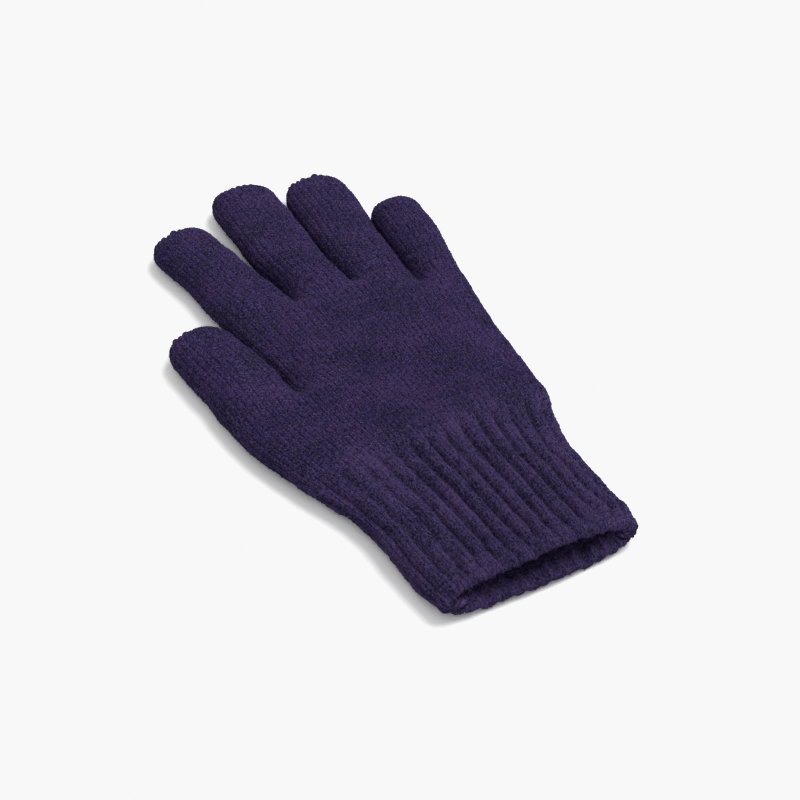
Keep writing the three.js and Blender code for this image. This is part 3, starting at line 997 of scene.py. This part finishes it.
def knit_material(name):
    """Fuzzy yarn, whose stitches are plainer to see in the hand than in the ribs of the cuff, with painted
    shade in their gaps and painted sheen on the cuff.
    """
    n = Nodes(name)
    _, wale, course = n.knit_numbers()
    ribbed = n.ramp(course, *RIB_COURSES, 1.0, 0.0)
    vee = n.minus(0.44, n.times(ribbed, 0.20))
    cloth = n.vector(n.times(wale, WALE), n.times(course, COURSE))

    # A stitch: two legs that slope from the middle of their wale, on a line that drifts a little.
    drift = n.minus(n.noise(cloth, 0.5, 2.0), 0.5)
    side = n.plus(wale, n.times(drift, 0.3))
    side = n.times(n.math("ABSOLUTE", n.minus(n.math("FRACT", side), 0.5)), 2.0)
    phase = n.minus(n.plus(course, n.times(drift, 0.5)), n.times(side, LEG_SLOPE))
    leg = n.plus(n.times(n.math("COSINE", n.times(phase, 2 * math.pi)), 0.5), 0.5)
    edge = n.ramp(side, 0.62, 1.0, 1.0, 0.0)
    centre = n.ramp(side, 0.0, 0.3, 0.45, 1.0)
    stitches = n.times(n.times(edge, centre), n.plus(n.times(leg, 0.6), 0.4))

    # Fuzz, from single fibres to patches of the hand's size.
    speckle = n.noise(cloth, 1.7, 3.0, 0.7, 0.8)
    fibres = n.noise(cloth, 4.5, 3.0, 0.65, 1.5)
    hairs = n.noise(n.vector(n.times(wale, 9.0), n.times(phase, 2.2)), 1.0, 3.0, 0.6, 0.6)
    patch = n.noise(cloth, 0.05, 2.0, 0.5)
    blotch = n.noise(cloth, 0.22, 2.0, 0.6)
    tones = [(n.minus(n.noise(cloth, scale, 2.0, 0.6), 0.5), weight) for scale, weight in TONES]

    # Colour: navy and plum yarn over gaps painted dark as shade, with pale flecks and lint, and painted sheen
    # on the cuff.
    hue = n.plus(patch, n.times(n.minus(blotch, 0.5), 0.45))
    yarn = n.mix(n.ramp(hue, 0.34, 0.66), NAVY, PLUM)
    # The cuff is painted lighter and greyer towards the fleck colour: painted sheen on its fuzz.
    yarn = n.mix(n.times(ribbed, 0.13), yarn, FLECK_AND_SHEEN)
    # Painted shade and highlight: darker at the edges of each wale, lighter on the stitches' legs, over
    # random mottles; lighter on the cuff as painted sheen.
    light = n.total(
        (stitches, vee), (speckle, 1.7), (hairs, 0.4), (n.minus(patch, 0.5), 1.05), *tones, (ribbed, 0.20)
    )
    base = n.mix(n.ramp(light, 0.96, 1.70), SHADED_GAP, yarn)
    glow = n.ramp(n.times(speckle, n.plus(fibres, 0.5)), 0.50, 0.76, 0.0, 0.75)
    base = n.mix(glow, base, FLECK_AND_SHEEN)
    lint = n.noise(n.vector(n.times(wale, 1.1), n.times(course, 2.1), 3.7), 2.1, 4.0, 0.75, 2.5)
    base = n.mix(n.ramp(lint, 0.64, 0.74), base, FLECK_AND_SHEEN)

    height = n.total((stitches, vee), (speckle, 0.8), (fibres, 0.4), (hairs, 0.2))
    return n.finish({
        "Base Color": base,
        "Roughness": n.ramp(fibres, 0.2, 0.8, 0.85, 1.0),
        "Specular IOR Level": 0.04,
        "Sheen Weight": 0.16,
        "Sheen Roughness": 0.55,
        "Sheen Tint": rgb(0.36, 0.28, 0.62),
        "Normal": n.bump(height, 0.0010, 1.0),
    })


def yarn_material(name, dark, light, twist):
    """A bare yarn: plies that wind round it."""
    n = Nodes(name)
    place, round_it, along = n.knit_numbers()
    turn = n.total((round_it, 2.0), (along, twist))
    ply = n.math("ABSOLUTE", n.math("SINE", n.times(turn, math.pi)))
    fuzz = n.noise(place, 7.0, 3.0, 0.7, 1.0)
    shade = n.total((ply, 0.55), (fuzz, 0.6))
    return n.finish({
        "Base Color": n.mix(n.ramp(shade, 0.25, 0.9), dark, light),
        "Roughness": n.ramp(fuzz, 0.2, 0.8, 0.8, 1.0),
        "Specular IOR Level": 0.1,
        "Sheen Weight": 0.25,
        "Sheen Roughness": 0.5,
        "Normal": n.bump(shade, 0.0003, 0.8),
    })


KNIT = knit_material("fuzzy_knit")
RIB = knit_material("fuzzy_rib")
YARN = yarn_material("yarn", SHADED_GAP, PLUM, 0.9)
ELASTIC = yarn_material("elastic", rgb(0.008, 0.006, 0.016), rgb(0.035, 0.028, 0.06), 2.0)
LINT = yarn_material("loose_fibre", rgb(0.05, 0.035, 0.10), rgb(0.11, 0.08, 0.18), 0.3)


def grey(level):
    return rgb(level, level, level)


# The white surroundings: how they light the glove, and how bright the camera sees them.
WHITE = 0.939  # the brightest tone in the picture
FLOOR_LIT, FLOOR_SEEN = 0.90, 1.5
WORLD_SEEN = 0.94


def floor_material():
    """A white sweep, exposed so far that the camera sees only the deepest shadows on it."""
    n = Nodes("pale_floor")
    seen = n.add("ShaderNodeLightPath", {}, "Is Camera Ray")
    base = n.mix(seen, grey(FLOOR_LIT), grey(FLOOR_SEEN))
    return n.finish({"Base Color": base, "Roughness": 1.0, "Specular IOR Level": 0.0})


# Camera, lights and floor.
scene = bpy.context.scene
scene.view_settings.view_transform = "Standard"
scene.view_settings.use_curve_mapping = True
curves = scene.view_settings.curve_mapping
curves.extend = "HORIZONTAL"
curves.curves[3].points[-1].location = (WHITE, WHITE)
curves.update()
camera = bpy.data.objects.new("camera", bpy.data.cameras.new("camera"))
camera.data.lens = 81
camera.data.sensor_width = 36
camera.location = Vector((-0.2128, -0.4290, 0.4506))
view = Vector((0.00515, -0.01655, 0.0)) - camera.location
camera.rotation_euler = view.to_track_quat("-Z", "Y").to_euler()
scene.collection.objects.link(camera)
scene.camera = camera

world = bpy.data.worlds.new("studio")
world.use_nodes = True
scene.world = world
nodes, links = world.node_tree.nodes, world.node_tree.links
lighting, seen = nodes["Background"], nodes.new("ShaderNodeBackground")
lighting.inputs["Color"].default_value = grey(1.0)
lighting.inputs["Strength"].default_value = 0.52
seen.inputs["Color"].default_value = grey(WORLD_SEEN)
either = nodes.new("ShaderNodeMixShader")
links.new(nodes.new("ShaderNodeLightPath").outputs["Is Camera Ray"], either.inputs[0])
links.new(lighting.outputs[0], either.inputs[1])
links.new(seen.outputs[0], either.inputs[2])
links.new(either.outputs[0], nodes["World Output"].inputs["Surface"])

sun = bpy.data.objects.new("key", bpy.data.lights.new("key", "SUN"))
sun.data.energy = 2.1
sun.data.angle = math.radians(45)
sun.rotation_euler = Vector((-0.88, -0.20, -1.0)).to_track_quat("-Z", "Y").to_euler()
scene.collection.objects.link(sun)

bpy.ops.mesh.primitive_plane_add(size=40, location=(0, 0, -0.0002))
floor = bpy.context.object
floor.name = "floor"
floor.data.materials.append(floor_material())


# Pieces.


def at(y):
    """The frame's point in the middle of the glove's plan at a place along it."""
    return tuple(float(v) for v in placed(np.array([0.0, y, SIDE_Z])))


piece = band(CUFF_TOP, THUMB_CROTCH, plain_wall).made("lower_palm_knit", [KNIT, LINT])
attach(piece, "hand")
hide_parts("lower_palm")

piece = upper_palm().made("upper_palm_knit", [KNIT, LINT])
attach(piece, "hand")
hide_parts("upper_palm")

piece = band(WELT_TOP, CUFF_TOP, cuff_wall).made("rib_cuff_knit", [RIB, LINT])
at(78)
at(50)
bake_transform(piece)
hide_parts("rib_cuff")

piece = welt().made("cuff_welt_knit", [RIB, LINT])
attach(piece, "cuff")
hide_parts("cuff_welt")

# Places along the glove at each digit's knuckle and at its middle joint.
BLENDS = {
    "thumb": ((116, 132), (134.5, 152)),
    "index": ((160, 180), (186, 206)),
    "middle": ((160, 180), (191, 213)),
    "ring": ((160, 180), (189, 209)),
    "little": ((149, 167), (170, 188)),
}
for name, (knuckle, middle) in BLENDS.items():
    piece = digit_part(name, "base").made(name + "_base_knit", [KNIT, LINT])
    at(knuckle[0])
    at(knuckle[1])
    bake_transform(piece)
    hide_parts(name + "_base")
    piece = digit_part(name, "tip").made(name + "_tip_knit", [KNIT, LINT])
    at(middle[0])
    at(middle[1])
    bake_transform(piece)
    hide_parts(name + "_tip")

    piece = closing_loops(name).made(name + "_tip_loops", [YARN])
    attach(piece, name + "_end")
    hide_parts(name + "_tip_seam")

for number, y in enumerate((16, 32, 48), 1):
    piece = elastic_thread(y).made(f"elastic_thread_{number}", [ELASTIC])
    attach(piece, "cuff")
    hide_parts(f"cuff_elastic_{number}")

for name in ("thumb", "index", "middle", "ring"):
    piece = yarn_knot(name + "_crotch_knot").made(name + "_yarn_knot", [YARN])
    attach(piece, "hand")
    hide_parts(name + "_crotch_knot")
